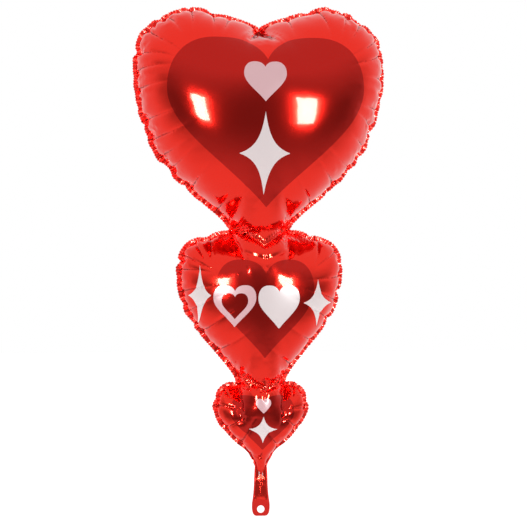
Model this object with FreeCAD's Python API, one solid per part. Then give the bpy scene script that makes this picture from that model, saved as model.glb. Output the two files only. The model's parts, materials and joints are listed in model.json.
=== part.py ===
import FreeCAD, Part
import math
import os

from FreeCAD import Vector

os.makedirs("parts", exist_ok=True)

# ---------------------------------------------------------------------------
# Column of three linked heart-shaped foil balloons with an inflation tail.
# Millimetres. X is the width, Y the thickness (front is -Y), +Z is up.
# The origin is the centre of the ribbon hole in the tail.
# ---------------------------------------------------------------------------

# Films and welds
FILM = 0.5              # wall of one film, modelled thicker than the real 0.04
WELD = 1.0              # thickness of the two films where they are heat sealed
SEAM_WIDTH = 7.0        # width of the heat-sealed border
INK = 0.25              # thickness of one printed layer
INK_GAP = 0.1           # clearance under each printed layer
ART_ROOM = 10.0         # how far in front of the dome each artwork's cutting shape starts
VALVE_FILM = 0.25       # wall of one clear valve film

# Heights of the bending lines, from the ribbon hole
TAIL_HINGE_Z = 90.0
LOWER_NECK_Z = 262.0
UPPER_NECK_Z = 561.0

# Clearance left for the hearts to tip at the necks
NECK_TIP_DEG = 20.0
NECK_GAP = 0.4
TAIL_GAP_BELOW = 1.0
TAIL_GAP_ABOVE = 1.8

# Inflated hearts: height of the middle of the dome and half thickness there
UPPER_DOME = {"centre_z": 800.0, "half_depth": 150.0}
MIDDLE_DOME = {"centre_z": 425.0, "half_depth": 97.0}
LOWER_DOME = {"centre_z": 196.0, "half_depth": 53.0}

# Necks: half width at the welded edges, half depth front to back
UPPER_NECK = {"z": UPPER_NECK_Z, "half_width": 64.0, "half_depth": 66.0}
LOWER_NECK = {"z": LOWER_NECK_Z, "half_width": 50.0, "half_depth": 50.0}
NECK_RUN = 34.0         # how far a neck tube runs into the heart on each side
NECK_COLLAR = 15.0      # height of the gathered film just under a bending line
NECK_SWELL = 1.16       # how much wider the tube is where it runs into the hearts

# Tail
TAIL_TOP_HALF = 14.0
TAIL_END_HALF = 18.0
TAIL_BOTTOM_Z = -14.0
TAIL_CORNER = 8.0
TAIL_WELD_TOP_Z = 18.0
TAIL_SIDE_WELD = 3.0
TAIL_MOUTH = 10.0       # how far the side welds stop short of the bending line, each way
HOLE_R = 7.5

# Valve: two clear films, from inside the tail up into the lower heart
VALVE_HALF_WIDTH = 8.0
VALVE_BOTTOM_Z = 22.0
VALVE_TOP_Z = 138.0
VALVE_GAP = 0.02        # half the gap between the two closed films
VALVE_CHANNEL_PLAY = 0.3
VALVE_CHANNEL_HEIGHT = 30.0

# Right half of each heart's outer edge, as cubic Bezier poles (x, z), from the
# top centre or the upper neck round to the lower neck or the tail.
UPPER_EDGE = [
    [(0, 953), (18, 985), (68, 1002), (122, 1002)],
    [(122, 1002), (202, 1002), (249, 930), (249, 845)],
    [(249, 845), (249, 770), (160, 652), (64, UPPER_NECK_Z)],
]
MIDDLE_EDGE = [
    [(64, UPPER_NECK_Z), (84, 561), (100, 556), (117, 547)],
    [(117, 547), (148, 531), (165, 505), (165, 465)],
    [(165, 465), (165, 415), (130, 348), (50, LOWER_NECK_Z)],
]
LOWER_EDGE = [
    [(50, LOWER_NECK_Z), (62, 262), (74, 256), (80, 246)],
    [(80, 246), (89, 236), (94, 226), (94, 210)],
    [(94, 210), (94, 170), (60, 130), (TAIL_TOP_HALF, TAIL_HINGE_Z)],
]

# Outline of each inflated dome: the weld's inner line, carried past the bending
# lines to a point, where the neck's passage takes over
UPPER_DOME_EDGE = [
    [(0, 944), (18, 976), (68, 995), (122, 995)],
    [(122, 995), (196, 995), (242, 930), (242, 845)],
    [(242, 845), (242, 774), (154, 656), (57, 566)],
    [(57, 566), (38, 549), (20, 538), (0, 532)],
]
MIDDLE_DOME_EDGE = [
    [(0, 545), (40, 553), (80, 554), (108, 542)],
    [(108, 542), (140, 528), (158, 505), (158, 465)],
    [(158, 465), (158, 417), (124, 352), (44, 268)],
    [(44, 268), (30, 253), (16, 245), (0, 240)],
]
LOWER_DOME_EDGE = [
    [(0, 248), (24, 252), (50, 252), (66, 246)],
    [(66, 246), (80, 239), (87, 227), (87, 210)],
    [(87, 210), (87, 173), (56, 136), (8, 96)],
    [(8, 96), (6, 95), (3, 94), (0, 94)],
]

# Angles, up the side of the dome, at which its cross-sections are taken
DOME_ANGLES = [0.0, 22.0, 42.0, 60.0, 75.0]
FAR = 1500.0


def point(x, z, y=0.0):
    """A point from its width and height, at depth y."""
    return Vector(x, y, z)


def bezier(poles, y=0.0):
    """One cubic Bezier edge through (x, z) poles at depth y."""
    curve = Part.BezierCurve()
    curve.setPoles([point(x, z, y) for x, z in poles])
    return curve.toShape()


def mirrored(segments):
    """The left half of an outline, in the order that closes the right half."""
    left = []
    for poles in reversed(segments):
        left.append([(-x, z) for x, z in reversed(poles)])
    return left


def closed_outline(segments, y=0.0):
    """A closed wire from a right half, its mirror and any short edges between."""
    loop = segments + mirrored(segments)
    edges = []
    for index, poles in enumerate(loop):
        edges.append(bezier(poles, y))
        end = poles[-1]
        start = loop[(index + 1) % len(loop)][0]
        if math.dist(end, start) > 1e-6:
            edges.append(Part.LineSegment(point(*end, y), point(*start, y)).toShape())
    return Part.Wire(edges)


def plate(wire, y_low, y_high):
    """A flat plate with the outline of a wire, from y_low to y_high."""
    face = Part.Face(wire)
    face.translate(Vector(0, y_low - wire.BoundBox.YMin, 0))
    return face.extrude(Vector(0, y_high - y_low, 0))


def scaled(segments, centre_z, factor):
    """An outline scaled about the middle of its dome."""
    result = []
    for poles in segments:
        result.append([(x * factor, centre_z + (z - centre_z) * factor) for x, z in poles])
    return result


def half_dome(segments, dome, front, grow=0.0):
    """One inflated side of a heart: sections that shrink as they rise from the weld."""
    side = -1.0 if front else 1.0
    centre_z = dome["centre_z"]
    height = dome["half_depth"] + grow
    widest = max(x for poles in segments for x, z in poles)
    sections = []
    for angle in DOME_ANGLES:
        turn = math.radians(angle)
        factor = math.cos(turn) * (widest + grow) / widest
        sections.append(closed_outline(scaled(segments, centre_z, factor),
                                       side * height * math.sin(turn)))
    sections.append(Part.Vertex(point(0, centre_z, side * height)))
    return Part.makeLoft(sections, True)


def neck_tube(neck, grow=0.0):
    """The gathered round passage between two hearts, narrowest at its bending line."""
    outline = []
    narrow = neck["half_width"] - SEAM_WIDTH
    for offset, swell in ((-NECK_RUN, NECK_SWELL), (0.0, 1.0), (NECK_RUN, NECK_SWELL)):
        outline.append(Part.Wire([Part.Circle(Vector(0, 0, neck["z"] + offset), Vector(0, 0, 1),
                                              narrow * swell + grow).toShape()]))
    tube = Part.makeLoft(outline, True)
    stretch = FreeCAD.Matrix()
    stretch.scale(Vector(1.0, (neck["half_depth"] + grow) / (narrow + grow), 1.0))
    return tube.transformGeometry(stretch)


# The unwelded way through the tip of the lower heart, where the valve passes
VALVE_CHANNEL_HALF = VALVE_HALF_WIDTH + VALVE_CHANNEL_PLAY
VALVE_CHANNEL = Part.makeBox(2 * VALVE_CHANNEL_HALF, 2 * WELD, VALVE_CHANNEL_HEIGHT,
                             Vector(-VALVE_CHANNEL_HALF, -WELD, TAIL_HINGE_Z))


def half_space(front):
    """Everything on one side of the welded border."""
    low = -FAR if front else WELD / 2
    return Part.makeBox(2 * FAR, FAR - WELD / 2, 2 * FAR, Vector(-FAR, low, -FAR))


def wedge(z, above, gap, tip_deg):
    """The room one body may fill beside a bending line, seen as a V from the side."""
    rise = math.tan(math.radians(tip_deg / 2 + 0.5)) * FAR
    sign = 1.0 if above else -1.0
    corners = [
        Vector(-FAR, 0, z + sign * gap),
        Vector(-FAR, FAR, z + sign * (gap + rise)),
        Vector(-FAR, FAR, z + sign * 2 * FAR),
        Vector(-FAR, -FAR, z + sign * 2 * FAR),
        Vector(-FAR, -FAR, z + sign * (gap + rise)),
    ]
    face = Part.Face(Part.makePolygon(corners + corners[:1]))
    return face.extrude(Vector(2 * FAR, 0, 0))


def slab(z_low, z_high):
    """A horizontal slice of space."""
    return Part.makeBox(2 * FAR, 2 * FAR, z_high - z_low, Vector(-FAR, -FAR, z_low))


def clip(shape, heart):
    """Cut a piece back from the bending lines above and below its heart."""
    for z, above, gap, tip in heart["clips"]:
        shape = shape.common(wedge(z, above, gap, tip))
    return shape


def puffed(heart, front, grow=0.0):
    """One side of a heart with its necks, as a solid out to the film's outer face."""
    body = half_dome(heart["dome_edge"], heart["dome"], front, grow)
    for neck in heart["necks"]:
        body = body.fuse(neck_tube(neck, grow).common(half_space(front)))
    return body.common(half_space(front))


def film(heart, front):
    """The film on one side of a heart: a thin inflated wall."""
    wall = puffed(heart, front).cut(puffed(heart, front, -FILM))
    return clip(wall, heart)


def seam(heart):
    """The heat-sealed border around a heart, one flat ring or pair of strips."""
    outer = plate(closed_outline(heart["edge"]), -WELD / 2, WELD / 2)
    hollow = plate(closed_outline(heart["dome_edge"]), -WELD, WELD)
    for neck in heart["necks"]:
        inside = neck["half_width"] - SEAM_WIDTH
        hollow = hollow.fuse(Part.makeBox(2 * inside, 2 * WELD, 2 * NECK_RUN,
                                          Vector(-inside, -WELD, neck["z"] - NECK_RUN)))
    hollow = hollow.fuse(VALVE_CHANNEL)
    return clip(outer.cut(hollow), heart)


def heart_edge(centre_x, centre_z, width, height):
    """A plain printed heart: its right half about x = 0, and where it is centred."""
    half = width / 2
    top = centre_z + height / 2
    tip = centre_z - height / 2
    cleft = top - 0.14 * height
    shoulder = top - 0.30 * height
    right = [
        [(0, cleft), (0.12 * half, top), (0.38 * half, top), (0.52 * half, top)],
        [(0.52 * half, top), (0.82 * half, top), (half, top - 0.12 * height), (half, shoulder)],
        [(half, shoulder), (half, centre_z - 0.05 * height),
         (0.34 * half, centre_z - 0.26 * height), (0, tip)],
    ]
    return right, centre_x


def sparkle_edge(centre_x, centre_z, width, height):
    """A four-pointed sparkle with hollow sides: its right half, and its centre."""
    half = width / 2
    reach = height / 2
    right = [
        [(0, centre_z + reach), (0.15 * half, centre_z + 0.36 * reach),
         (0.40 * half, centre_z + 0.12 * reach), (half, centre_z)],
        [(half, centre_z), (0.40 * half, centre_z - 0.12 * reach),
         (0.15 * half, centre_z - 0.36 * reach), (0, centre_z - reach)],
    ]
    return right, centre_x


def prism(outline, front_depth):
    """The printed shape carried straight back through the front of a heart."""
    right, centre_x = outline
    block = plate(closed_outline(right), -front_depth, -WELD)
    block.translate(Vector(centre_x, 0, 0))
    return block


def printed(heart, outline, layer, hole=None):
    """A layer of ink on the front film, with the outline of its artwork."""
    under = INK_GAP + layer * (INK + INK_GAP)
    depth = heart["dome"]["half_depth"] + ART_ROOM
    art = prism(outline, depth)
    if hole is not None:
        art = art.cut(prism(hole, depth))
    skin = half_dome(heart["dome_edge"], heart["dome"], True, under + INK)
    skin = skin.common(art)
    return clip(skin.cut(half_dome(heart["dome_edge"], heart["dome"], True, under)), heart)


def tail_outline(inset=0.0):
    """Outline of the flat tail, from its rounded end up to the bending line."""
    end = TAIL_END_HALF - inset
    top = TAIL_TOP_HALF - inset
    bottom = TAIL_BOTTOM_Z
    corner = TAIL_CORNER
    top_z = TAIL_HINGE_Z - TAIL_GAP_BELOW
    bow = corner * (1 - math.sqrt(0.5))
    left_arc = Part.Arc(point(-end, bottom + corner), point(-end + bow, bottom + bow),
                        point(-end + corner, bottom))
    right_arc = Part.Arc(point(end - corner, bottom), point(end - bow, bottom + bow),
                         point(end, bottom + corner))
    edges = [
        left_arc.toShape(),
        Part.LineSegment(point(-end + corner, bottom), point(end - corner, bottom)).toShape(),
        right_arc.toShape(),
        Part.LineSegment(point(end, bottom + corner), point(top, top_z)).toShape(),
        Part.LineSegment(point(top, top_z), point(-top, top_z)).toShape(),
        Part.LineSegment(point(-top, top_z), point(-end, bottom + corner)).toShape(),
    ]
    return Part.Wire(edges)


def tail_pieces():
    """The tail: welded end with its ribbon hole, side welds and two films."""
    whole = tail_outline()
    above_weld = slab(TAIL_WELD_TOP_Z, TAIL_HINGE_Z)
    end_weld = plate(whole, -WELD / 2, WELD / 2).common(slab(TAIL_BOTTOM_Z - 1, TAIL_WELD_TOP_Z))
    hole = Part.makeCylinder(HOLE_R, 4 * WELD, Vector(0, -2 * WELD, 0), Vector(0, 1, 0))
    side_welds = plate(whole, -WELD / 2, WELD / 2).common(above_weld)
    side_welds = side_welds.cut(slab(TAIL_WELD_TOP_Z - 1, FAR).common(
        plate(tail_outline(TAIL_SIDE_WELD), -WELD, WELD)))
    mouth_half = TAIL_TOP_HALF - TAIL_SIDE_WELD
    mouth = Part.makeBox(2 * mouth_half, 2 * WELD, 2 * TAIL_MOUTH,
                         Vector(-mouth_half, -WELD, TAIL_HINGE_Z - TAIL_MOUTH))
    side_welds = side_welds.cut(mouth)
    front = plate(whole, -WELD / 2 - FILM, -WELD / 2).common(above_weld)
    back = front.copy()
    back.translate(Vector(0, WELD + FILM, 0))
    return {
        "tail_end_weld": end_weld.cut(hole),
        "tail_side_welds": side_welds,
        "tail_front_film": front,
        "tail_back_film": back,
    }


def valve_pieces():
    """Two clear films that close on each other, from the tail into the lower heart."""
    pieces = {}
    stretches = {
        "valve_inlet": (VALVE_BOTTOM_Z, TAIL_HINGE_Z - TAIL_GAP_BELOW),
        "valve_lip": (TAIL_HINGE_Z + TAIL_GAP_ABOVE + 1.0, VALVE_TOP_Z),
    }
    for name, (low, high) in stretches.items():
        size = (2 * VALVE_HALF_WIDTH, VALVE_FILM, high - low)
        front_corner = Vector(-VALVE_HALF_WIDTH, -VALVE_FILM - VALVE_GAP, low)
        back_corner = Vector(-VALVE_HALF_WIDTH, VALVE_GAP, low)
        pieces[name + "_front_film"] = Part.makeBox(*size, front_corner)
        pieces[name + "_back_film"] = Part.makeBox(*size, back_corner)
    return pieces


HEARTS = {
    "upper": {
        "edge": UPPER_EDGE, "dome_edge": UPPER_DOME_EDGE, "dome": UPPER_DOME,
        "necks": [UPPER_NECK],
        "clips": [(UPPER_NECK_Z, True, NECK_GAP, NECK_TIP_DEG)],
    },
    "middle": {
        "edge": MIDDLE_EDGE, "dome_edge": MIDDLE_DOME_EDGE, "dome": MIDDLE_DOME,
        "necks": [UPPER_NECK, LOWER_NECK],
        "clips": [(UPPER_NECK_Z, False, NECK_GAP, NECK_TIP_DEG),
                  (LOWER_NECK_Z, True, NECK_GAP, NECK_TIP_DEG)],
    },
    "lower": {
        "edge": LOWER_EDGE, "dome_edge": LOWER_DOME_EDGE, "dome": LOWER_DOME,
        "necks": [LOWER_NECK],
        "clips": [(LOWER_NECK_Z, False, NECK_GAP, NECK_TIP_DEG),
                  (TAIL_HINGE_Z, True, TAIL_GAP_ABOVE, 0.0)],
    },
}

# Artwork on each front film: name, outline, layer of ink, cut-out
ARTWORK = {
    "upper": [
        ("heart_panel_print", heart_edge(0, 765, 385, 330), 0, None),
        ("small_heart_print", heart_edge(-6, 840, 82, 78), 1, None),
        ("sparkle_print", sparkle_edge(-6, 703, 100, 159), 1, None),
    ],
    "middle": [
        ("heart_panel_print", heart_edge(0, 403, 194, 193), 0, None),
        ("left_sparkle_print", sparkle_edge(-126, 428, 43, 123), 1, None),
        ("outline_heart_print", heart_edge(-60, 409, 82, 82), 1, heart_edge(-60, 410, 50, 50)),
        ("solid_heart_print", heart_edge(26, 407, 82, 85), 1, None),
        ("right_sparkle_print", sparkle_edge(105, 415, 62, 93), 1, None),
    ],
    "lower": [
        ("heart_panel_print", heart_edge(0, 177, 126, 110), 0, None),
        ("small_heart_print", heart_edge(0, 211, 30, 30), 1, None),
        ("sparkle_print", sparkle_edge(0, 164, 60, 54), 1, None),
    ],
}


def heart_pieces(name):
    """Every piece of one heart. The gathered film under a neck is its own piece."""
    heart = HEARTS[name]
    pieces = {name + "_seam": seam(heart)}
    for side, front in (("front", True), ("back", False)):
        wall = film(heart, front)
        top_z, top_is_above = heart["clips"][0][:2]
        if not top_is_above:
            collar = slab(top_z - NECK_COLLAR, top_z)
            pieces[f"{name}_neck_{side}_film"] = wall.common(collar)
            wall = wall.cut(collar)
        pieces[f"{name}_{side}_film"] = wall
    for label, outline, layer, hole in ARTWORK[name]:
        pieces[f"{name}_{label}"] = printed(heart, outline, layer, hole)
    return pieces


def export(pieces):
    """Write one STEP file for each piece."""
    for name, shape in pieces.items():
        solids = shape.Solids
        result = solids[0] if len(solids) == 1 else Part.makeCompound(solids)
        result.exportStep(f"parts/{name}.step")
        box = result.BoundBox
        print(f"{name}: solids {len(solids)}, valid {result.isValid()}, "
              f"volume {result.Volume:.0f} mm3, z {box.ZMin:.1f} to {box.ZMax:.1f}, "
              f"y {box.YMin:.1f} to {box.YMax:.1f}")


export(tail_pieces())
export(valve_pieces())
for heart_name in HEARTS:
    export(heart_pieces(heart_name))
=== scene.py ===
# %% [markdown]
# # A column of three foil heart balloons
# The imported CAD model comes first. It gives the bodies, the joints, the overall box and the place of each
# printed shape. The film's flat outline is drawn here, to fill the same space once it is blown up.

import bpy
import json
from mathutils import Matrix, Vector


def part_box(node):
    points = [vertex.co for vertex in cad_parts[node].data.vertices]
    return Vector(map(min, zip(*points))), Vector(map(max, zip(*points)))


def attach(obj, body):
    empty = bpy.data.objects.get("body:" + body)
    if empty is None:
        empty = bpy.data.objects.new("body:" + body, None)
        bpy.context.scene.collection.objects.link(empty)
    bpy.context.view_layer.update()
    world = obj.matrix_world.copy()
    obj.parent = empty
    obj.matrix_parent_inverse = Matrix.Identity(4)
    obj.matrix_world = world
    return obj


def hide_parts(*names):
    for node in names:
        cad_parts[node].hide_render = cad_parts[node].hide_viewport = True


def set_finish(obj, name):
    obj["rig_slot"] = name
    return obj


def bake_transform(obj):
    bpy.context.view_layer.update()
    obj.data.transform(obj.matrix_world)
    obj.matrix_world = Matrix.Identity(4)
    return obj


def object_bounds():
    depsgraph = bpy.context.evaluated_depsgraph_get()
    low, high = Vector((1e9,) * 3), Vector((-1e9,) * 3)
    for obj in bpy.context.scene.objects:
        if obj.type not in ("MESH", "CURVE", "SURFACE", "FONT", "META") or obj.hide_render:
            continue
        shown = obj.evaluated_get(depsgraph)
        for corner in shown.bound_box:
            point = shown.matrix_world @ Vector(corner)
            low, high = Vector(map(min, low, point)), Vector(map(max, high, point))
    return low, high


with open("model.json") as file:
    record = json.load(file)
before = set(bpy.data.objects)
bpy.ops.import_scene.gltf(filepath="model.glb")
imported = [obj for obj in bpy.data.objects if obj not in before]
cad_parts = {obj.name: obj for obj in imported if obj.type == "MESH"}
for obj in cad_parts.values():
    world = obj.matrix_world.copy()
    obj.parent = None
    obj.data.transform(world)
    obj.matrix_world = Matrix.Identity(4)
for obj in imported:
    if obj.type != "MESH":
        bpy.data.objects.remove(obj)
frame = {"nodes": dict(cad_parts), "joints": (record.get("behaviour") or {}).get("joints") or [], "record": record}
cad_low, cad_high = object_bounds()
print("CAD box, metres:", [round(v, 3) for v in cad_low], [round(v, 3) for v in cad_high])

# %% [markdown]
# The film is worked out in millimetres, and MM turns them into metres. The camera, the studio and the
# bodies' bending lines are in metres from the start. One seeded generator makes every random draw.

# %% Tools
import json
import math

import bpy
import numpy as np
from mathutils import Vector
from mathutils.bvhtree import BVHTree
from mathutils.geometry import delaunay_2d_cdt
from mathutils.kdtree import KDTree

MM = 0.001
rng = np.random.default_rng(7)
world_scene = bpy.context.scene
bend_height = {joint["name"]: joint["pos_m"][2] for joint in frame["joints"]}
print("bending lines, metres up:", bend_height)

# %% [markdown]
# ## Camera and studio
# A long lens from three and a half metres keeps perspective slight. The camera stands a few degrees to the
# left of the balloon's front, level with its middle.

# %% Camera
CAMERA_DISTANCE = 3.5
CAMERA_TURN = math.radians(-6.0)
FRAME_WIDTH = 1.054
AIM_RIGHT = 0.0055
AIM_UP = 0.003
SENSOR = 36.0


def deselect():
    """Nothing selected, so that the next operator acts only on what it makes."""
    bpy.ops.object.select_all(action="DESELECT")


aim = Vector((AIM_RIGHT, 0.0, (cad_low.z + cad_high.z) / 2 + AIM_UP))
away = Vector((math.sin(CAMERA_TURN), -math.cos(CAMERA_TURN), 0.0))
deselect()
bpy.ops.object.camera_add(location=aim + away * CAMERA_DISTANCE)
camera = bpy.context.object
camera.name = "camera"
camera.rotation_mode = "QUATERNION"
camera.rotation_quaternion = (-away).to_track_quat("-Z", "Y")
camera.data.sensor_width = SENSOR
camera.data.lens = SENSOR * CAMERA_DISTANCE / FRAME_WIDTH
camera.data.clip_end = 60.0
world_scene.camera = camera
print("lens, millimetres:", round(camera.data.lens, 1))

# %% [markdown]
# Metallised film is a mirror, so the room matters more than the lamps. The walls, ceiling and floor are
# white and turn the domes' edges bright. The side of the room where the camera stands is dark, and shows
# as the deep red band across the middle of each heart. Two soft boxes give the window-like highlights.
# They are left out of diffuse light, which would bleach the printed inks. The floor is left out of
# reflections, where its far edge would draw a hard line. The camera itself sees a plain white room.

# %% Room
DARK_FROM_FRONT = (0.35, -0.55)
DARK_UP_TO = (-0.05, 0.60)
DARK_DOWN_TO = (-0.85, -0.15)
WALL_LEVEL = 0.96
DARK_DROP = 0.64
BOX_TARGET = (0, 0, 0.65)
BOX_POWER = 75
FLOOR_SIZE = 16.0
FLOOR_PLACE = (0, 6.4, -0.45)
PAPER_GLOW = 0.35


def node(tree, kind, **settings):
    """A shader node with its settings."""
    shader_node = tree.nodes.new(kind)
    for name, value in settings.items():
        setattr(shader_node, name, value)
    return shader_node


def math_node(tree, operation, a, b=None, c=None):
    """A Math node fed by sockets or numbers."""
    step = node(tree, "ShaderNodeMath", operation=operation)
    for index, value in enumerate((a, b, c)):
        if value is None:
            continue
        if isinstance(value, (int, float)):
            step.inputs[index].default_value = value
        else:
            tree.links.new(value, step.inputs[index])
    return step.outputs[0]


def smooth_range(tree, value, low, high, out_low=0.0, out_high=1.0):
    """A smooth step of a socket from one range to another."""
    mapped = node(tree, "ShaderNodeMapRange", interpolation_type="SMOOTHSTEP")
    tree.links.new(value, mapped.inputs["Value"])
    for name, number in (("From Min", low), ("From Max", high), ("To Min", out_low), ("To Max", out_high)):
        mapped.inputs[name].default_value = number
    return mapped.outputs["Result"]


def build_room():
    """A white room with a dark side behind the camera, for reflections. The camera sees plain white."""
    room = bpy.data.worlds.new("white_room")
    room.use_nodes = True
    tree = room.node_tree
    tree.nodes.clear()
    direction = node(tree, "ShaderNodeTexCoord").outputs["Generated"]
    parts = node(tree, "ShaderNodeSeparateXYZ")
    tree.links.new(direction, parts.inputs[0])
    side = smooth_range(tree, parts.outputs["Y"], *DARK_FROM_FRONT)
    up = smooth_range(tree, parts.outputs["Z"], *DARK_UP_TO, 1.0, 0.0)
    down = smooth_range(tree, parts.outputs["Z"], *DARK_DOWN_TO)
    band = math_node(tree, "MULTIPLY", side, math_node(tree, "MULTIPLY", up, down))
    level = math_node(tree, "MULTIPLY_ADD", band, -DARK_DROP, WALL_LEVEL)
    shade = node(tree, "ShaderNodeCombineColor")
    for channel in range(3):
        tree.links.new(level, shade.inputs[channel])
    reflected = node(tree, "ShaderNodeBackground")
    tree.links.new(shade.outputs[0], reflected.inputs["Color"])
    seen = node(tree, "ShaderNodeBackground")
    seen.inputs["Color"].default_value = (1, 1, 1, 1)
    pick = node(tree, "ShaderNodeMixShader")
    tree.links.new(node(tree, "ShaderNodeLightPath").outputs["Is Camera Ray"], pick.inputs[0])
    tree.links.new(reflected.outputs[0], pick.inputs[1])
    tree.links.new(seen.outputs[0], pick.inputs[2])
    tree.links.new(pick.outputs[0], node(tree, "ShaderNodeOutputWorld").inputs["Surface"])
    world_scene.world = room


def soft_box(name, place, width, height):
    """A rectangular studio lamp turned to the balloon."""
    bpy.ops.object.light_add(type="AREA", location=place)
    lamp = bpy.context.object
    lamp.name = name
    lamp.data.shape = "RECTANGLE"
    lamp.data.size = width
    lamp.data.size_y = height
    lamp.data.energy = BOX_POWER
    lamp.visible_diffuse = False
    lamp.rotation_mode = "QUATERNION"
    lamp.rotation_quaternion = (Vector(BOX_TARGET) - lamp.location).to_track_quat("-Z", "Y")


build_room()
world_scene.view_settings.view_transform = "Standard"
soft_box("soft_box_left", (-1.34, -1.95, 0.70), width=0.42, height=0.78)
soft_box("soft_box_right", (1.18, -2.15, 0.70), width=0.46, height=0.74)

deselect()
bpy.ops.mesh.primitive_plane_add(size=FLOOR_SIZE, location=FLOOR_PLACE)
floor = bpy.context.object
floor.name = "floor"
floor.data.transform(floor.matrix_world)
floor.matrix_world.identity()
floor.visible_glossy = False


def floor_material():
    """Matt white paper."""
    paper = bpy.data.materials.new("white_paper")
    paper.use_nodes = True
    shader = paper.node_tree.nodes["Principled BSDF"]
    shader.inputs["Base Color"].default_value = (0.93, 0.93, 0.93, 1)
    shader.inputs["Roughness"].default_value = 0.8
    shader.inputs["Emission Color"].default_value = (1, 1, 1, 1)
    shader.inputs["Emission Strength"].default_value = PAPER_GLOW
    return paper


floor.data.materials.append(floor_material())
print("room, two soft boxes and floor made")

# %% [markdown]
# ## The film, flat
# A foil balloon starts as two flat films, printed, cut to one outline and welded along its edge. Nothing
# in it is curved until the gas goes in: the domes, the puckered rim and the creases at the necks all come
# from a flat sheet that can't stretch. So the flat outline is drawn first, and the two layers are welded
# and blown up with Cloth. The flat film is almost a third wider than the full balloon. Sharp creases and
# the weld's scallops are too fine for that mesh, and are pressed in later.

# %% Flat outline
FLAT_EDGE = [
    [(0, 1180), (20, 1191), (72, 1195), (142, 1195)],
    [(142, 1195), (240, 1195), (326, 1113), (326, 982)],
    [(326, 982), (326, 874), (258, 722), (96, 638)],
    [(96, 638), (112, 638), (124, 634), (142, 625)],
    [(142, 625), (192, 608), (220, 566), (220, 506)],
    [(220, 506), (220, 424), (166, 348), (80, 270)],
    [(80, 270), (112, 270), (128, 246), (128, 210)],
    [(128, 210), (128, 168), (84, 126), (14, 84)],
    [(14, 84), (13, 60), (13.5, 36), (17.5, 14)],
    [(17.5, 14), (18.5, 4), (18.5, -13.5), (9, -13.5)],
    [(9, -13.5), (6, -13.5), (3, -13.5), (0, -13.5)],
]
WELD = 7.0
TAIL_WELD = 3.0
WELD_WIDENS_OVER = 40.0
OUTLINE_STEP = 2.0
KEPT_INSET = 0.93
FLAT_UPPER_NECK = 638.0
FLAT_LOWER_NECK = 270.0
FLAT_TAIL = 84.0
TAIL_WELD_TOP = 18.0
TAIL_FOLD = 7.0
HOLE_RADIUS = 7.5
HELD_BELOW = 55.0
PRESSED_ABOVE = 75.0


def bezier(poles, count=40):
    """Points along one cubic Bezier curve."""
    t = np.linspace(0, 1, count)[:, None]
    a, b, c, d = (np.array(p, float) for p in poles)
    return (1 - t) ** 3 * a + 3 * (1 - t) ** 2 * t * b + 3 * (1 - t) * t ** 2 * c + t ** 3 * d


def spaced(path, step, closed=False):
    """The same line with evenly spaced points."""
    if closed:
        path = np.concatenate([path, path[:1]])
    run = np.concatenate([[0], np.cumsum(np.linalg.norm(np.diff(path, axis=0), axis=1))])
    count = max(2, int(round(run[-1] / step)))
    at = np.linspace(0, run[-1], count + 1)
    points = np.stack([np.interp(at, run, path[:, k]) for k in range(2)], 1)
    return points[:-1] if closed else points


def mirrored_loop(curves, step):
    """A closed loop from the curves of its right half."""
    half = np.concatenate([bezier(curves[0])[:1]] + [bezier(poles)[1:] for poles in curves])
    right = spaced(half, step)
    left = right[::-1] * [-1, 1]
    return np.concatenate([right, left[1:-1]])


def is_inside(points, loop):
    """Which points lie inside a closed loop."""
    x, y = points.T
    found = np.zeros(len(points), bool)
    for (x0, y0), (x1, y1) in zip(loop, np.roll(loop, -1, 0)):
        crossing = (y0 > y) != (y1 > y)
        if crossing.any():
            found ^= crossing & (x < (x1 - x0) * (y - y0) / (y1 - y0 + 1e-12) + x0)
    return found


def distance_to(points, loop):
    """How far each point is from a closed loop."""
    best = np.full(len(points), 1e9)
    for start, end in zip(loop, np.roll(loop, -1, 0)):
        along = end - start
        share = np.clip(((points - start) @ along) / (along @ along + 1e-12), 0, 1)
        best = np.minimum(best, np.linalg.norm(points - start - share[:, None] * along, axis=1))
    return best


def inset(loop, by):
    """A loop moved inwards by a width for each point, without the knots that tight corners make."""
    tangent = np.roll(loop, -1, 0) - np.roll(loop, 1, 0)
    tangent /= np.linalg.norm(tangent, axis=1)[:, None]
    moved = loop + np.stack([tangent[:, 1], -tangent[:, 0]], 1) * by[:, None]
    keep = is_inside(moved, loop) & (distance_to(moved, loop) > by * KEPT_INSET)
    return moved[keep]


edge_points = mirrored_loop(FLAT_EDGE, OUTLINE_STEP)
weld_width = np.interp(edge_points[:, 1], [FLAT_TAIL, FLAT_TAIL + WELD_WIDENS_OVER], [TAIL_WELD, WELD])
weld_line = inset(edge_points, weld_width)
weld_line = spaced(weld_line[weld_line[:, 1] > TAIL_WELD_TOP], OUTLINE_STEP, True)
print("flat outline, millimetres:", np.round(np.ptp(edge_points, axis=0)),
      "weld line:", round(len(weld_line) * OUTLINE_STEP))

# %% [markdown]
# The flat film becomes triangles by a constrained Delaunay fill. The points are jittered a little, so that
# no grid line tells the creases which way to run. They are closer near the weld, where the film puckers.
# Lines that have to survive as edges are passed in as chains: the weld, the artwork and the cuts.

# %% Triangulate a flat film
SHEET_HALF = 330
SHEET_LOW, SHEET_HIGH = -20, 1210
ROW_STEP = 0.866
JITTER = 0.15
CLOSEST = 0.6


def scattered(step):
    """A jittered triangular grid over the whole film."""
    columns = np.arange(-SHEET_HALF, SHEET_HALF + 1, step)
    rows = np.arange(SHEET_LOW, SHEET_HIGH, step * ROW_STEP)
    x, y = np.meshgrid(columns, rows)
    x = x + (np.arange(len(rows)) % 2)[:, None] * step / 2
    grid = np.stack([x.ravel(), y.ravel()], 1)
    return grid + rng.uniform(-JITTER, JITTER, grid.shape) * step


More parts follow.
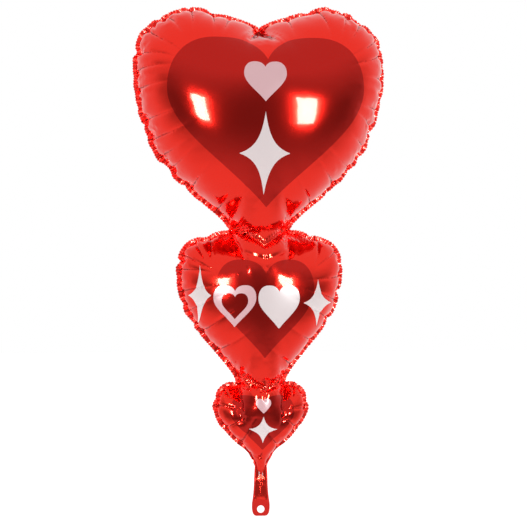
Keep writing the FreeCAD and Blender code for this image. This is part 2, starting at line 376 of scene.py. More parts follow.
def chain_edges(chains):
    """Points and edges of open or closed chains."""
    points, edges, first = [], [], 0
    for chain, closed in chains:
        count = len(chain)
        points.append(chain)
        last = count if closed else count - 1
        edges += [(first + i, first + (i + 1) % count) for i in range(last)]
        first += count
    return np.concatenate(points), edges


def flat_film(bands, edge_step, chains=()):
    """Triangles of the flat film. bands lists (distance from the weld, spacing) from the edge inwards."""
    outer = mirrored_loop(FLAT_EDGE, edge_step)
    seam = spaced(weld_line, edge_step, True)
    fixed, edges = chain_edges([(outer, True), (seam, True), *chains])
    taken = KDTree(len(fixed))
    for index, (x, y) in enumerate(fixed):
        taken.insert((x, y, 0), index)
    taken.balance()
    points, near = [fixed], CLOSEST * edge_step
    for far, step in bands:
        grid = scattered(step)
        grid = grid[is_inside(grid, seam)]
        depth = distance_to(grid, seam)
        grid = grid[(depth >= near) & (depth < far)]
        free = [taken.find((x, y, 0))[2] > CLOSEST * edge_step for x, y in grid]
        points.append(grid[np.array(free, bool)])
        near = far
    filled = delaunay_2d_cdt([Vector(p) for p in np.concatenate(points)], edges, [], 1, 1e-4, False)
    flat = np.array([tuple(v) for v in filled[0]])
    faces = np.array([list(f) for f in filled[2]])
    centres = flat[faces].mean(1)
    faces = faces[is_inside(centres, outer) & (np.linalg.norm(centres, axis=1) > HOLE_RADIUS * 0.98)]
    a, b, c = (flat[faces[:, k]] for k in range(3))
    turned = (b[:, 0] - a[:, 0]) * (c[:, 1] - a[:, 1]) < (b[:, 1] - a[:, 1]) * (c[:, 0] - a[:, 0])
    faces = np.where(turned[:, None], faces[:, ::-1], faces)
    depth = distance_to(flat, seam)
    inner = is_inside(flat, seam) & (depth > 1e-3)
    return weld_two({"flat": flat, "faces": faces, "inner": inner, "depth": depth, "seam": seam})


def weld_two(film):
    """Adds the back film: its own points inside the weld, shared points on the weld."""
    flat, inner = film["flat"], film["inner"]
    back = np.arange(len(flat))
    back[inner] = len(flat) + np.arange(inner.sum())
    inside = is_inside(flat[film["faces"]].mean(1), film["seam"])
    film["back"] = back
    film["front_faces"] = film["faces"][inside]
    film["back_faces"] = back[film["faces"][inside]][:, ::-1]
    film["weld_faces"] = film["faces"][~inside]
    film["all_faces"] = np.concatenate([film["faces"], film["back_faces"]])
    film["both"] = np.concatenate([flat, flat[inner]])
    return film


def lying_flat(film):
    """The two films as they leave the press."""
    both = film["both"]
    return np.stack([both[:, 0], np.zeros(len(both)), both[:, 1]], 1) * MM


# %% [markdown]
# ## Blowing it up
# Cloth with pressure inflates the film. It runs in short rounds. After each one the two films are made
# mirror images again and the weld is put back in its plane, so the balloon finds its smooth average shape
# before any crease forms. The tail below the valve is held, as gas doesn't fill it. A shape key gives
# Cloth the flat film's lengths, so that the film knows how long it really is.

# %% Inflate
PUFF = 4.0
PUFF_REACH = 25.0
ROUGH_STEP = 11.0
WHOLE = 1e9
ROUND_PRESSURES = (3, 8, 20) + 5 * (40,)


def inflate(name, points, film, frames, pressure, hold_short, bending, air):
    """Runs Cloth on the film from a shape and returns the shape it ends in."""
    mesh = bpy.data.meshes.new(name)
    mesh.from_pydata(points.tolist(), [], film["all_faces"].tolist())
    body = bpy.data.objects.new(name, mesh)
    world_scene.collection.objects.link(body)
    height = film["both"][:, 1]
    inner = np.concatenate([film["inner"], np.ones(film["inner"].sum(), bool)])
    for group, chosen in (("gas", inner & (height > PRESSED_ABOVE)), ("held", height < HELD_BELOW)):
        body.vertex_groups.new(name=group).add(np.where(chosen)[0].tolist(), 1.0, "REPLACE")
    body.shape_key_add(name="Basis")
    flat_key = body.shape_key_add(name="flat")
    flat_key.data.foreach_set("co", lying_flat(film).ravel())
    flat_key.value = 0
    cloth = body.modifiers.new("film", "CLOTH")
    world_scene.frame_start, world_scene.frame_end = 1, frames
    cloth.point_cache.frame_start, cloth.point_cache.frame_end = 1, frames + 1
    settings = cloth.settings
    settings.rest_shape_key = flat_key
    settings.quality = 5
    settings.mass = 0.1
    settings.air_damping = air
    settings.bending_model = "ANGULAR"
    settings.tension_stiffness, settings.compression_stiffness = 60, hold_short
    settings.shear_stiffness, settings.bending_stiffness = 20, bending
    settings.tension_damping = settings.compression_damping = settings.shear_damping = 5
    settings.bending_damping = 0.2
    settings.use_pressure = True
    settings.uniform_pressure_force = pressure
    settings.vertex_group_pressure = "gas"
    settings.vertex_group_mass = "held"
    settings.effector_weights.gravity = 0
    cloth.collision_settings.use_collision = False
    for step in range(1, frames + 1):
        world_scene.frame_set(step)
    result = np.empty(len(points) * 3, np.float32)
    shaped = body.evaluated_get(bpy.context.evaluated_depsgraph_get())
    shaped.data.vertices.foreach_get("co", result)
    bpy.data.objects.remove(body)
    bpy.data.meshes.remove(mesh)
    world_scene.frame_set(1)
    return result.reshape(-1, 3).astype(float)


def evened(film, points):
    """Front and back made mirror images, and the weld back in its plane."""
    points = points.copy()
    front = np.where(film["inner"])[0]
    back = film["back"][front]
    middle = (points[front] + points[back] * [1, -1, 1]) / 2
    points[front], points[back] = middle, middle * [1, -1, 1]
    points[np.where(~film["inner"])[0], 1] = 0
    return points


def first_puff(film):
    """A slight pillow, so that the two films don't start on each other."""
    depth = np.where(film["inner"], PUFF * (1 - np.exp(-film["depth"] / PUFF_REACH)), 0)
    points = lying_flat(film)
    count = len(film["flat"])
    points[:count, 1] = -depth * MM
    points[count:, 1] = depth[film["inner"]] * MM
    return points


smooth_film = flat_film([(WHOLE, ROUGH_STEP)], ROUGH_STEP)
smooth = first_puff(smooth_film)
for pressure in ROUND_PRESSURES:
    smooth = inflate("rough_film", smooth, smooth_film, frames=8, pressure=pressure,
                     hold_short=0.7, bending=0.02, air=1)
    smooth = evened(smooth_film, smooth)
print("inflated, millimetres:", np.round(np.ptp(smooth, axis=0) / MM))

# %% [markdown]
# ## Artwork goes on flat
# The printer works on flat film, so a shape that should look right on the full balloon is drawn a little
# wrong on the sheet. Here each shape is drawn where it should be seen from the front, at the size of its
# CAD print, and every point of it is followed back through the smooth balloon to its place on the sheet.

# %% Artwork outlines
def box_frame(name):
    """Centre, half width and height of a CAD print, in millimetres, seen from the front."""
    low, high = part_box(name)
    centre = (low + high) / 2 / MM
    return centre.x, centre.z, (high.x - low.x) / 2 / MM, (high.z - low.z) / MM


def heart_loop(name):
    """A plain heart in the box of its CAD print."""
    x, z, half, height = box_frame(name)
    top, tip = z + height / 2, z - height / 2
    shoulder = top - 0.30 * height
    curves = [
        [(0, top - 0.14 * height), (0.12 * half, top), (0.38 * half, top), (0.52 * half, top)],
        [(0.52 * half, top), (0.82 * half, top), (half, top - 0.12 * height), (half, shoulder)],
        [(half, shoulder), (half, z - 0.05 * height), (0.34 * half, z - 0.26 * height), (0, tip)],
    ]
    return mirrored_loop(curves, 2.0) + [x, 0]


def sparkle_loop(name):
    """A four-pointed sparkle in the box of its CAD print."""
    x, z, half, height = box_frame(name)
    reach = height / 2
    curves = [
        [(0, z + reach), (0.15 * half, z + 0.36 * reach), (0.40 * half, z + 0.12 * reach), (half, z)],
        [(half, z), (0.40 * half, z - 0.12 * reach), (0.15 * half, z - 0.36 * reach), (0, z - reach)],
    ]
    return mirrored_loop(curves, 2.0) + [x, 0]


def shrunk(loop, share):
    """The same shape, smaller, about its own middle."""
    middle = (loop.max(0) + loop.min(0)) / 2
    return middle + (loop - middle) * share


ARTWORK = {
    "upper_heart_panel": (heart_loop, 0),
    "upper_small_heart": (heart_loop, 1),
    "upper_sparkle": (sparkle_loop, 1),
    "middle_heart_panel": (heart_loop, 0),
    "middle_left_sparkle": (sparkle_loop, 1),
    "middle_outline_heart": (heart_loop, 1),
    "middle_solid_heart": (heart_loop, 1),
    "middle_right_sparkle": (sparkle_loop, 1),
    "lower_heart_panel": (heart_loop, 0),
    "lower_small_heart": (heart_loop, 1),
    "lower_sparkle": (sparkle_loop, 1),
}
OUTLINE_HOLE = 0.62
front_side = BVHTree.FromPolygons(smooth.tolist(), smooth_film["front_faces"].tolist())


def laid_flat(loop):
    """Follows a loop seen from the front back to the flat sheet."""
    placed = []
    for x, z in loop * MM:
        hit, _, face, _ = front_side.ray_cast(Vector((x, -1.0, z)), Vector((0, 1, 0)))
        if hit is None:
            continue
        corners = smooth_film["front_faces"][face]
        a, b, c = smooth[corners]
        shares = np.linalg.lstsq(np.stack([b - a, c - a], 1), np.array(hit) - a, rcond=None)[0]
        weights = np.array([1 - shares.sum(), *shares])
        placed.append(weights @ smooth_film["flat"][corners])
    return np.array(placed)


ART_STEP = 4.0
flat_art = {}
for name, (draw, layer) in ARTWORK.items():
    seen = draw(name + "_print")
    flat_art[name] = spaced(laid_flat(seen), ART_STEP, True)
    if name == "middle_outline_heart":
        flat_art["outline_hole"] = spaced(laid_flat(shrunk(seen, OUTLINE_HOLE)), ART_STEP, True)
print("artwork laid on the flat sheet:", len(flat_art), "loops")

# %% [markdown]
# ## The fine film
# The same sheet is now filled with smaller triangles, carried onto the smooth balloon and blown up once
# more without any help to stay even. A slight ripple along the weld gives the puckers somewhere to start.
# The film is too long for the curve it is pulled onto, so the puckers grow from there.

# %% Fine film
CUT_LINES = (FLAT_UPPER_NECK, FLAT_LOWER_NECK, FLAT_TAIL)
HOLE_POINTS = 24
FINE_STEP = 4.0
FINE_BANDS = [(50, FINE_STEP), (125, 5.5), (WHOLE, ROUGH_STEP)]
edge_line = mirrored_loop(FLAT_EDGE, 1.0)


def cut_chain(height):
    """A straight chain of points right across the sheet."""
    near = edge_line[np.abs(edge_line[:, 1] - height) < 1.0]
    half = np.abs(near[:, 0]).min() - 0.5
    return spaced(np.array([(-half, height), (half, height)], float), ART_STEP)


hole_turn = np.linspace(0, 2 * math.pi, HOLE_POINTS, endpoint=False)
hole_loop = HOLE_RADIUS * np.stack([np.cos(hole_turn), np.sin(hole_turn)], 1)
chains = [(loop, True) for loop in flat_art.values()] + [(hole_loop, True)]
chains += [(cut_chain(height), False) for height in CUT_LINES]
for line in (-TAIL_FOLD, -TAIL_FOLD / 2, 0.0, TAIL_FOLD / 2, TAIL_FOLD):
    fold_line = np.array([(line, TAIL_WELD_TOP + 5), (line, FLAT_TAIL - 4)])
    chains.append((spaced(fold_line, ART_STEP), False))
fine_film = flat_film(FINE_BANDS, FINE_STEP, chains)


def carried(film, points, finer):
    """Places a finer film on the shape of a rougher one."""
    flat, faces = film["flat"], film["front_faces"]
    everything = film["faces"]
    tree = BVHTree.FromPolygons([(x, y, 0) for x, y in flat], everything.tolist())
    count = len(finer["flat"])
    placed = np.zeros((len(finer["both"]), 3))
    slots = count + np.cumsum(finer["inner"]) - 1
    for index, (x, y) in enumerate(finer["flat"]):
        spot, _, face, _ = tree.find_nearest((x, y, 0))
        corners = everything[face]
        a, b, c = flat[corners]
        shares = np.linalg.solve(np.array([b - a, c - a]).T, np.array([spot.x, spot.y]) - a)
        weights = np.array([1 - shares.sum(), *shares])
        placed[index] = weights @ points[corners]
        if finer["inner"][index]:
            placed[slots[index]] = weights @ points[film["back"][corners]]
    welded_end = finer["both"][:, 1] < TAIL_WELD_TOP + 1
    placed[welded_end] = lying_flat(finer)[welded_end]
    return placed


weld_tree = KDTree(len(weld_line))
for index, (x, y) in enumerate(weld_line):
    weld_tree.insert((x, y, 0), index)
weld_tree.balance()


def weld_run(flat):
    """How far round the weld each flat point lies, in millimetres."""
    return np.array([weld_tree.find((x, y, 0))[1] for x, y in flat]) * OUTLINE_STEP


RIPPLE = 22.0
RIPPLE_HEIGHT = 2.0
RIPPLE_REACH = 18.0
RIPPLES_ABOVE = 100.0


def rippled(film, points):
    """A small ripple along the weld, made uneven by slower waves."""
    run = weld_run(film["both"])
    beat = 1.2 * np.sin(run * 2 * math.pi / 170) + 0.9 * np.sin(run * 2 * math.pi / 97 + 1)
    wave = np.sin(2 * math.pi * run / RIPPLE + beat) * (0.75 + 0.25 * np.sin(run * 2 * math.pi / 61))
    inner = np.concatenate([film["inner"], np.ones(film["inner"].sum(), bool)])
    depth = np.where(inner, np.concatenate([film["depth"], film["depth"][film["inner"]]]), 0)
    fade = np.exp(-(depth / RIPPLE_REACH) ** 2) * (film["both"][:, 1] > RIPPLES_ABOVE)
    moved = points.copy()
    moved[:, 1] += RIPPLE_HEIGHT * MM * wave * fade
    return moved


full = rippled(fine_film, carried(smooth_film, smooth, fine_film))
full = inflate("fine_film", full, fine_film, frames=16, pressure=40, hold_short=20, bending=0.5, air=5)
print("fine film:", len(full), "points,", np.round(np.ptp(full, axis=0) / MM), "mm")
for height in CUT_LINES:
    on_cut = np.abs(fine_film["both"][:, 1] - height) < 0.01
    print("cut at", height, "lies between", np.round(full[on_cut, 2].min() / MM), "and",
          np.round(full[on_cut, 2].max() / MM), "mm up")

# %% [markdown]
# ## Smooth skin and sharp creases
# One level of Subdivision Surface rounds the triangles off, which matters on a mirror, where every facet
# shows. The crease lines are pressed in afterwards, as subdivision would only iron them out. Each crease
# is a narrow groove that runs in from the weld and fades out, and the film between two of them is a pillow.

# %% Subdivide
MOST_SLIDE = 2.5
FRONT, BACK, WELDED = 0, 1, 2


def rounded(points, faces, kind):
    """Points and quads after one level of Subdivision Surface."""
    mesh = bpy.data.meshes.new("skin")
    mesh.from_pydata(points.tolist(), [], faces.tolist())
    body = bpy.data.objects.new("skin", mesh)
    world_scene.collection.objects.link(body)
    divide = body.modifiers.new("round", "SUBSURF")
    divide.levels = 1
    divide.subdivision_type = kind
    shaped = body.evaluated_get(bpy.context.evaluated_depsgraph_get()).data
    place = np.empty(len(shaped.vertices) * 3, np.float32)
    shaped.vertices.foreach_get("co", place)
    corners = np.empty(len(shaped.loops), np.int32)
    shaped.loops.foreach_get("vertex_index", corners)
    bpy.data.objects.remove(body)
    bpy.data.meshes.remove(mesh)
    return place.reshape(-1, 3).astype(float), corners.reshape(-1, 4)


def skin(film, points):
    """The subdivided film. Subdivision lets points slide along the sheet, so each is slid back to its own
    flat place, which keeps the printed outlines clean."""
    faces = film["all_faces"]
    level = np.column_stack([film["both"], np.zeros(len(points))])
    place, quads = rounded(points, faces, "CATMULL_CLARK")
    slid = rounded(level, faces, "CATMULL_CLARK")[0][:, :2]
    true = rounded(level, faces, "SIMPLE")[0][:, :2]
    a, b, c = (points[faces[:, k]] for k in range(3))
    flat_a, flat_b, flat_c = (film["both"][faces[:, k]] for k in range(3))
    turn_back = np.linalg.inv(np.stack([flat_b - flat_a, flat_c - flat_a], 2))
    stretch = np.stack([b - a, c - a], 2) @ turn_back
    owner = np.zeros(len(place), int)
    owner[quads.ravel()] = np.repeat(np.arange(len(faces)), 12)
    shift = (stretch[owner] @ (true - slid)[:, :, None])[:, :, 0]
    length = np.maximum(np.linalg.norm(shift, axis=1), 1e-9)
    return place + shift * np.minimum(1, MOST_SLIDE * MM / length)[:, None], quads, true


points, quads, flat = skin(fine_film, full)
parent = np.repeat(np.arange(len(fine_film["all_faces"])), 3)
within_weld = is_inside(fine_film["flat"][fine_film["faces"]].mean(1), fine_film["seam"])
back_sides = np.full(len(fine_film["back_faces"]), BACK)
sides = np.concatenate([np.where(within_weld, FRONT, WELDED), back_sides])[parent]
face_place = fine_film["both"][fine_film["all_faces"]].mean(1)[parent]
print("skin:", len(points), "points,", len(quads), "faces")


# %% [markdown]
# Long creases start at uneven steps round the weld. The corners of the necks get a bunch of short ones, and
# the cleft between the top lobes gets one deep one. Each point also keeps how sharp its crease is, which
# the finish reads later to paint shade into the crease bottoms.

# %% Normals and creases
CREASE_DEPTH = (2.6, 3.8)
CREASE_REACH = (82, 118)
CREASE_WIDTH = (2.6, 3.4)
CREASE_LEAN = (-0.18, 0.18)
CREASE_SPACING = (38, 76)
CREASE_ROOM = 30
CREASES_END = 170
CREASES_ABOVE = 110.0
NECK_CREASES_EACH_WAY = 8
NECK_CREASE_SPACING = 7.0
NECK_CREASE_DEPTH = (0.9, 1.5)
NECK_CREASE_REACH = (26, 44)
NECK_CREASE_WIDTH = 2.0
NECK_CORNERS = ((94, FLAT_UPPER_NECK), (78, FLAT_LOWER_NECK))
CLEFT = (0, 1173)
CLEFT_CREASE = (5.0, 105.0, 3.5, 0.0)
PILLOW = 0.5
PILLOW_WIDTH = 14.0


def smooth_normals(points, quads):
    """Area-weighted point normals of one side of the skin."""
    a, b, c, d = (points[quads[:, k]] for k in range(4))
    normal = np.cross(c - a, d - b)
    total = np.zeros_like(points)
    for k in range(4):
        np.add.at(total, quads[:, k], normal)
    return total / np.maximum(np.linalg.norm(total, axis=1), 1e-12)[:, None]


fine_weld = spaced(weld_line, 1.0, True)
fine_tree = KDTree(len(fine_weld))
for index, (x, y) in enumerate(fine_weld):
    fine_tree.insert((x, y, 0), index)
fine_tree.balance()
nearest = np.array([fine_tree.find((x, y, 0))[1:] for x, y in flat])
run_round, seam_gap = nearest[:, 0], nearest[:, 1]
round_length = float(len(fine_weld))


def nearest_run(x, z):
    """How far round the weld a flat point is."""
    return float(fine_tree.find((x, z, 0))[1])


def crease_list():
    """Every crease: where it starts on the weld, its depth, reach, width and lean."""
    rows = []
    necks = [nearest_run(side * x, z) for side in (-1, 1) for x, z in NECK_CORNERS]
    cleft = nearest_run(*CLEFT)
    place = float(CREASE_ROOM)
    while place < round_length - CREASE_ROOM:
        if min(abs(place - spot) for spot in necks + [cleft]) > CREASE_ROOM:
            rows.append((place, rng.uniform(*CREASE_DEPTH), rng.uniform(*CREASE_REACH),
                         rng.uniform(*CREASE_WIDTH), rng.uniform(*CREASE_LEAN)))
        place += rng.uniform(*CREASE_SPACING)
    for neck in necks:
        for step in range(-NECK_CREASES_EACH_WAY, NECK_CREASES_EACH_WAY + 1):
            rows.append((neck + step * NECK_CREASE_SPACING, rng.uniform(*NECK_CREASE_DEPTH),
                         rng.uniform(*NECK_CREASE_REACH), NECK_CREASE_WIDTH, 0.0))
    rows.append((cleft, *CLEFT_CREASE))
    return rows


def crease_depths():
    """How deep the creases lie at every point, and how sharp the crease is there, from 0 to 1."""
    depth, sharp = np.zeros(len(points)), np.zeros(len(points))
    near = (seam_gap < CREASES_END) & (flat[:, 1] > CREASES_ABOVE)
    for start, height, reach, width, lean in crease_list():
        off = run_round[near] - start - lean * seam_gap[near]
        off = np.abs((off + round_length / 2) % round_length - round_length / 2)
        fade = np.exp(-(seam_gap[near] / reach) ** 4)
        groove = (height * np.exp(-off / width) + PILLOW * height * np.exp(-off / PILLOW_WIDTH)) * fade
        depth[near] = np.maximum(depth[near], groove)
        sharp[near] = np.maximum(sharp[near], np.exp(-off / width) * fade * min(height / 3, 1))
    return depth, sharp


# %% [markdown]
# At each neck the film folds in on itself and leaves a V-shaped valley, gathered into small crimps. It is
# pressed into the front and the back alike, with a short upright fold below its point. Each row gives a
# bending line, the valley's points across and up from it, its depth and its width, in millimetres.

# %% Valleys at the necks
VALLEYS = [
    ("upper_neck_bend", [(-58, 5), (-30, -13), (0, -32), (30, -13), (58, 5)], 8.5, 6.5),
    ("upper_neck_bend", [(0, -32), (1, -77)], 3.0, 3.0),
    ("upper_neck_bend", [(-38, -48), (-18, -56), (1, -61), (20, -55), (38, -47)], 2.4, 4.0),
    ("lower_neck_bend", [(-40, 8), (-22, -6), (3, -22), (26, -6), (44, 8)], 6.0, 5.0),
    ("lower_neck_bend", [(3, -22), (3, -40)], 2.2, 2.5),
]
VALLEY_NEAR = 60
CRIMP = 6.5
CRIMP_HEIGHT = 0.9
CRIMPED_FROM = 5


def valley_depths():
    """Depth of the valleys, and of the crimps along them, at every point."""
    depth = np.zeros(len(points))
    place = points[:, [0, 2]] / MM
    for bend, line, height, width in VALLEYS:
        path = spaced(np.array(line, float) + [0, bend_height[bend] / MM], 1.0)
        tree = KDTree(len(path))
        for index, (x, z) in enumerate(path):
            tree.insert((x, z, 0), index)
        tree.balance()
        near = np.where(np.abs(place[:, 1] - path[:, 1].mean()) < VALLEY_NEAR)[0]
        found = np.array([tree.find((x, z, 0))[1:] for x, z in place[near]])
        groove = height * np.exp(-(found[:, 1] / width) ** 1.5)
        crimps = CRIMP_HEIGHT * np.cos(2 * math.pi * found[:, 0] / CRIMP)
        groove += crimps * np.exp(-(found[:, 1] / (2.2 * width)) ** 2) * (height > CRIMPED_FROM)
        depth[near] += groove * np.clip(seam_gap[near] / 25, 0, 1)
    return depth


front_normals = smooth_normals(points, quads[sides == FRONT])
back_normals = smooth_normals(points, quads[sides == BACK])
shared = np.linalg.norm(front_normals, axis=1) * np.linalg.norm(back_normals, axis=1) > 0.5
pressed = front_normals + back_normals
pressed[shared] = 0
crease_depth, crease_sharp = crease_depths()
points = points - pressed * (crease_depth + valley_depths())[:, None] * MM
front_normals = smooth_normals(points, quads[sides == FRONT])
back_normals = smooth_normals(points, quads[sides == BACK])


# %% [markdown]
# ## The welded border
# The weld is two films pressed into one strip. The gas pulls its inner edge in along the curves, and the
# strip has no way to get shorter, so it buckles into a row of small scallops. Two waves along the weld
# give that shape here, one to and fro and one in and out.

# %% Scalloped weld
SCALLOP = 13.0
SCALLOP_SIDE = 1.3
SCALLOP_OUT = 0.8
SCALLOPS_FROM = 110.0
SCALLOPS_GROW_OVER = 30.0
EDGE_WINDOW = 41


def round_curve(values, window=0):
    """Values kept for every millimetre of the weld, from the points on it, smoothed on request."""
    order = np.argsort(run_round[shared])
    curve = np.interp(np.arange(len(fine_weld)), run_round[shared][order], values[shared][order],
                      period=round_length)
    if window:
        weight = np.hanning(window)
        curve = np.convolve(np.tile(curve, 3), weight / weight.sum(), "same")[len(curve):2 * len(curve)]
    return curve


def outward_of(x, z):
    """Unit direction out of a closed curve, in its plane."""
    way = np.stack([np.roll(x, -1) - np.roll(x, 1), np.roll(z, -1) - np.roll(z, 1)], 1)
    way /= np.maximum(np.linalg.norm(way, axis=1), 1e-9)[:, None]
    return np.stack([-way[:, 1], way[:, 0]], 1)


flange = np.zeros(len(points), bool)
flange[np.unique(quads[sides == WELDED])] = True
flange &= ~shared
keep_share = np.clip((flat[:, 1] - SCALLOPS_FROM) / SCALLOPS_GROW_OVER, 0, 1) * flange
run_at = run_round.astype(int)
edge_way = outward_of(round_curve(points[:, 0], EDGE_WINDOW), round_curve(points[:, 2], EDGE_WINDOW))[run_at]
beads = 2 * math.pi * run_round / SCALLOP + 0.8 * np.sin(run_round / 43) + 0.6 * np.sin(run_round / 19)
beside = np.stack([round_curve(points[:, k])[run_at] for k in range(3)], 1)
outward = seam_gap + SCALLOP_OUT * np.cos(2 * beads) * seam_gap / WELD
beside[:, [0, 2]] += edge_way * outward[:, None] * MM
beside[:, 1] += SCALLOP_SIDE * np.sin(beads) * seam_gap / WELD * MM
points = points + (beside - points) * keep_share[:, None]
print("weld scallops every", SCALLOP, "mm")

# %% [markdown]
# The tail holds no gas. Its films stand a few millimetres apart over the valve, with upright folds.

# %% Tail folds
TAIL_TOP = 104.0
TAIL_HALF = 10.5
TOP_FADE = 26.0
END_FADE = 7.0
VALVE_ROOM = 0.75
FOLD_MIDDLE = 1.9
FOLD_HEIGHT = 1.3
on_a_side = (front_normals != 0).any(1) | (back_normals != 0).any(1)
in_tail = on_a_side & ~shared & (flat[:, 1] < TAIL_TOP)
across = np.clip(np.abs(flat[:, 0]) / TAIL_HALF, 0, 1)
unevenness = 0.8 + 0.2 * np.sin(flat[:, 1] / 9)
folds = FOLD_MIDDLE + FOLD_HEIGHT * np.cos(2 * math.pi * flat[:, 0] / TAIL_FOLD) * unevenness
lift = VALVE_ROOM * (1 - across ** 8) + (1 - across ** 2) * folds
height_share = np.clip((TAIL_TOP - flat[:, 1]) / TOP_FADE, 0, 1)
height_share = height_share * np.clip((flat[:, 1] - TAIL_WELD_TOP) / END_FADE, 0, 1)
side_sign = np.where((front_normals != 0).any(1), -1.0, 1.0)
points[:, 1] += np.where(in_tail, side_sign * lift * height_share * MM, 0)
front_normals = smooth_normals(points, quads[sides == FRONT])
back_normals = smooth_normals(points, quads[sides == BACK])
weld_normals = smooth_normals(points, quads[sides == WELDED])
print("points lifted in the tail:", in_tail.sum())

# %% [markdown]
# ## Pieces cut from the skin
# Film has thickness, so each piece is a closed shell: the skin, a copy of it a fraction of a millimetre
# away and a strip round its border. The pieces keep the whole skin's normals. That way the mirror runs
# on unbroken where the film is divided for the joints, just as on the real, uncut sheet.

# %% Shell maker
def border_edges(faces):
    """Edges that only one face uses, in that face's direction."""
    edges = np.stack([faces, np.roll(faces, -1, 1)], 2).reshape(-1, 2)
    seen = set(map(tuple, edges.tolist()))
    return np.array([edge for edge in map(tuple, edges.tolist()) if edge[::-1] not in seen])


def shell(name, chosen, normals, low, high):
    """A closed shell over the chosen skin faces, from low to high millimetres along the normals."""
    used, faces = np.unique(quads[chosen], return_inverse=True)
    faces = faces.reshape(-1, 4)
    place, out = points[used], normals[used]
    count = len(used)
    edges = border_edges(faces)
    a, b = edges[:, 0], edges[:, 1]
    rim = np.stack([b, a, a + count, b + count], 1)
    mesh = bpy.data.meshes.new(name)
    corners = np.concatenate([place + out * high * MM, place + out * low * MM])
    mesh.from_pydata(corners.tolist(), [], np.concatenate([faces, faces[:, ::-1] + count, rim]).tolist())
    sheet = mesh.uv_layers.new(name="film")
    film_place = np.tile(flat[used] * MM, (2, 1))
    loops = np.empty(len(mesh.loops), np.int32)
    mesh.loops.foreach_get("vertex_index", loops)
    sheet.data.foreach_set("uv", film_place[loops].ravel())
    # The crease sharpness is kept for the finish, which paints shade into the crease bottoms with it.
    kept = (("from_weld", seam_gap), ("round_weld", run_round), ("crease", crease_sharp))
    for label, values in kept:
        layer = mesh.attributes.new(label, "FLOAT", "POINT")
        layer.data.foreach_set("value", np.tile(values[used], 2).astype(np.float32))
    mesh.polygons.foreach_set("use_smooth", np.ones(len(mesh.polygons), bool))
    custom = np.concatenate([out, -out])[loops]
    rim_first = 2 * faces.size
    rim_normals = np.empty(len(mesh.polygons) * 3, np.float32)
    mesh.polygons.foreach_get("normal", rim_normals)
    custom[rim_first:] = np.repeat(rim_normals.reshape(-1, 3)[2 * len(faces):], 4, axis=0)
    mesh.normals_split_custom_set(custom.tolist())
    mesh.update()
    piece = bpy.data.objects.new(name, mesh)
    world_scene.collection.objects.link(piece)
    return piece


# %% [markdown]
# Each part is cut from the skin between two heights on the flat sheet, at the necks and at the top of the
# tail. The real film folds at the necks when the column bends. Only the tail's pieces are put on a body;
# the hearts' pieces stay where they lie. SPANS gives each part's lowest and highest flat height, in millimetres.

# %% Cut the hearts
SPANS = {
    "upper": (FLAT_UPPER_NECK, 1e9),
    "middle": (FLAT_LOWER_NECK, FLAT_UPPER_NECK),
    "lower": (FLAT_TAIL, FLAT_LOWER_NECK),
    "tail": (-1e9, FLAT_TAIL),
}


FILM_THICK = 0.3
END_HALF_THICK = 0.45
INK_LIFT = (0.12, 0.32)
INK_THICK = 0.12
slot_of = {row["node"]: row["material_slot"] for row in frame["record"]["subparts"]}
pieces = {}


def follow(piece, part):
    """Rides a tail piece on the tail's body, and leaves a heart's piece in place with its transform baked in."""
    if part == "tail":
        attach(piece, "tail")
        return
    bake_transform(piece)


def add_piece(name, part, chosen, normals, low, high, *nodes):
    """A shell that stands for its CAD nodes; a tail piece rides on the tail's body."""
    piece = shell(name, chosen, normals, low, high)
    follow(piece, part)
    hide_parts(*nodes)
    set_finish(piece, "pink_ink" if name == "middle_outline_heart_ink" else slot_of[nodes[0]])
    pieces[name] = piece
    return piece


def span_faces(part, side):
    """Which skin faces of one side belong to a part."""
    low, high = SPANS[part]
    return (sides == side) & (face_place[:, 1] > low) & (face_place[:, 1] < high)


def film_nodes(part, side):
    """CAD nodes that one film of a heart stands for."""
    nodes = [f"{part}_{side}_film"]
    return nodes + ([f"{part}_neck_{side}_film"] if part in ("middle", "lower") else [])


for part in ("upper", "middle", "lower"):
    for side, number, normals in (("front", FRONT, front_normals), ("back", BACK, back_normals)):
        piece = add_piece(f"{part}_{side}_foil", part, span_faces(part, number), normals,
                          -FILM_THICK, 0.0, *film_nodes(part, side))
    add_piece(f"{part}_weld", part, span_faces(part, WELDED), weld_normals,
              -FILM_THICK, FILM_THICK, f"{part}_seam")
for side, number, normals in (("front", FRONT, front_normals), ("back", BACK, back_normals)):
    add_piece(f"tail_{side}_foil", "tail", span_faces("tail", number), normals,
              -FILM_THICK, 0.0, f"tail_{side}_film")
tail_welded = span_faces("tail", WELDED)
low_weld = face_place[:, 1] < TAIL_WELD_TOP
add_piece("tail_welded_end", "tail", tail_welded & low_weld, weld_normals,
          -END_HALF_THICK, END_HALF_THICK, "tail_end_weld")
add_piece("tail_welded_sides", "tail", tail_welded & ~low_weld, weld_normals,
          -FILM_THICK, FILM_THICK, "tail_side_welds")
print("films and welds:", len(pieces))

# %% [markdown]
# Each ink is a thin shell of its own over the faces inside its outline. The panels lie next to the foil
# and the small shapes lie on top of them.

# %% Lay the inks
for name, (draw, layer) in ARTWORK.items():
    part = name.split("_")[0]
    covered = (sides == FRONT) & is_inside(face_place, flat_art[name])
    if name == "middle_outline_heart":
        covered &= ~is_inside(face_place, flat_art["outline_hole"])
    lift = INK_LIFT[layer]
    add_piece(name + "_ink", part, covered, front_normals, lift, lift + INK_THICK, name + "_print")
print("pieces:", sorted(pieces))

# %% [markdown]
# ## Finishes
# Red foil is clear red lacquer over bright metal: a metal shader with a saturated colour, and nearly a
# mirror. The dark red panels are a second, deeper lacquer, so they mirror too. The pink and white inks
# are opaque and only glossy. All of them share the film's faint unevenness, read from its flat place. The
# metal finishes get painted shade at the bottoms of the creases: a darker red mixed into the lacquer's
# colour where the crease is sharp. The valve's films are the CAD nodes themselves, in clear film.

# %% Materials
# Dark red that is painted into the crease bottoms of the metal finishes as shade.
CREASE_PAINTED_SHADE = (0.16, 0.004, 0.003)
VALVE_ALPHA = 0.45


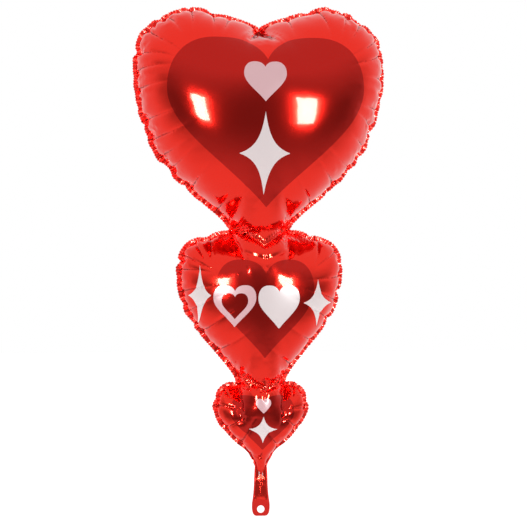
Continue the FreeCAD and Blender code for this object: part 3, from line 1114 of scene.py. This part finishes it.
def film_bump(tree, shader, weld_ribs=False):
    """Faint stretch marks of the film, and crimps in towards the weld."""
    place = node(tree, "ShaderNodeUVMap", uv_map="film")
    broad = node(tree, "ShaderNodeTexNoise")
    broad.inputs["Scale"].default_value = 14.0
    broad.inputs["Detail"].default_value = 2.0
    tree.links.new(place.outputs[0], broad.inputs["Vector"])
    run = node(tree, "ShaderNodeAttribute", attribute_name="round_weld").outputs["Fac"]
    gap = node(tree, "ShaderNodeAttribute", attribute_name="from_weld").outputs["Fac"]
    join = node(tree, "ShaderNodeCombineXYZ")
    tree.links.new(math_node(tree, "MULTIPLY", run, 0.16), join.inputs[0])
    tree.links.new(math_node(tree, "MULTIPLY", gap, 0.012), join.inputs[1])
    crimps = node(tree, "ShaderNodeTexNoise")
    crimps.inputs["Scale"].default_value = 1.0
    crimps.inputs["Detail"].default_value = 3.0
    tree.links.new(join.outputs[0], crimps.inputs["Vector"])
    fade = smooth_range(tree, gap, 2.0, 26.0, 1.0, 0.0)
    ribs = math_node(tree, "MULTIPLY", crimps.outputs["Fac"], fade)
    swell = math_node(tree, "MULTIPLY", broad.outputs["Fac"], 0.5)
    height = math_node(tree, "MULTIPLY_ADD", ribs, 1.0, swell)
    bump = node(tree, "ShaderNodeBump")
    bump.inputs["Strength"].default_value = 0.12 if weld_ribs else 0.25
    bump.inputs["Distance"].default_value = 0.001 if weld_ribs else 0.002
    tree.links.new(height, bump.inputs["Height"])
    tree.links.new(bump.outputs[0], shader.inputs["Normal"])


def finish(name, color, metallic, roughness, coat=0.0, weld_ribs=False):
    """A film or ink finish."""
    made_finish = bpy.data.materials.new(name)
    made_finish.use_nodes = True
    tree = made_finish.node_tree
    shader = tree.nodes["Principled BSDF"]
    shader.inputs["Base Color"].default_value = (*color, 1)
    # Painted shade: metal finishes turn darker red at the crease bottoms, the more so where the crease is sharp.
    if metallic:
        crease = node(tree, "ShaderNodeAttribute", attribute_name="crease").outputs["Fac"]
        crease_painted_shade = node(tree, "ShaderNodeMix", data_type="RGBA")
        tree.links.new(smooth_range(tree, crease, 0.35, 0.95, 0.0, 0.75), crease_painted_shade.inputs["Factor"])
        crease_painted_shade.inputs[6].default_value = (*color, 1)
        crease_painted_shade.inputs[7].default_value = (*CREASE_PAINTED_SHADE, 1)
        tree.links.new(crease_painted_shade.outputs[2], shader.inputs["Base Color"])
    shader.inputs["Metallic"].default_value = metallic
    shader.inputs["Roughness"].default_value = roughness
    shader.inputs["Coat Weight"].default_value = coat
    shader.inputs["Coat Roughness"].default_value = 0.04
    film_bump(tree, shader, weld_ribs)
    return made_finish


FINISHES = {
    "red_foil": finish("red_foil_finish", (0.86, 0.028, 0.016), 1.0, 0.11, 0.15),
    "welded_foil": finish("welded_foil_finish", (0.80, 0.030, 0.022), 1.0, 0.30, 0.2, True),
    "dark_red_ink": finish("dark_red_ink_finish", (0.47, 0.010, 0.006), 1.0, 0.13, 0.2),
    "pink_ink": finish("pink_ink_finish", (0.90, 0.54, 0.57), 0.0, 0.30, 0.4),
    "pale_ink": finish("pale_ink_finish", (0.93, 0.81, 0.81), 0.0, 0.30, 0.4),
    "clear_valve_film": finish("clear_valve_finish", (0.85, 0.85, 0.85), 0.0, 0.15),
}
FINISHES["clear_valve_film"].node_tree.nodes["Principled BSDF"].inputs["Alpha"].default_value = VALVE_ALPHA
for piece in pieces.values():
    piece.data.materials.append(FINISHES[piece["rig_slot"]])
for name, cad_node in frame["nodes"].items():
    if name.startswith("valve"):
        cad_node.data.materials.clear()
        cad_node.data.materials.append(FINISHES["clear_valve_film"])
print("finishes:", sorted(FINISHES))
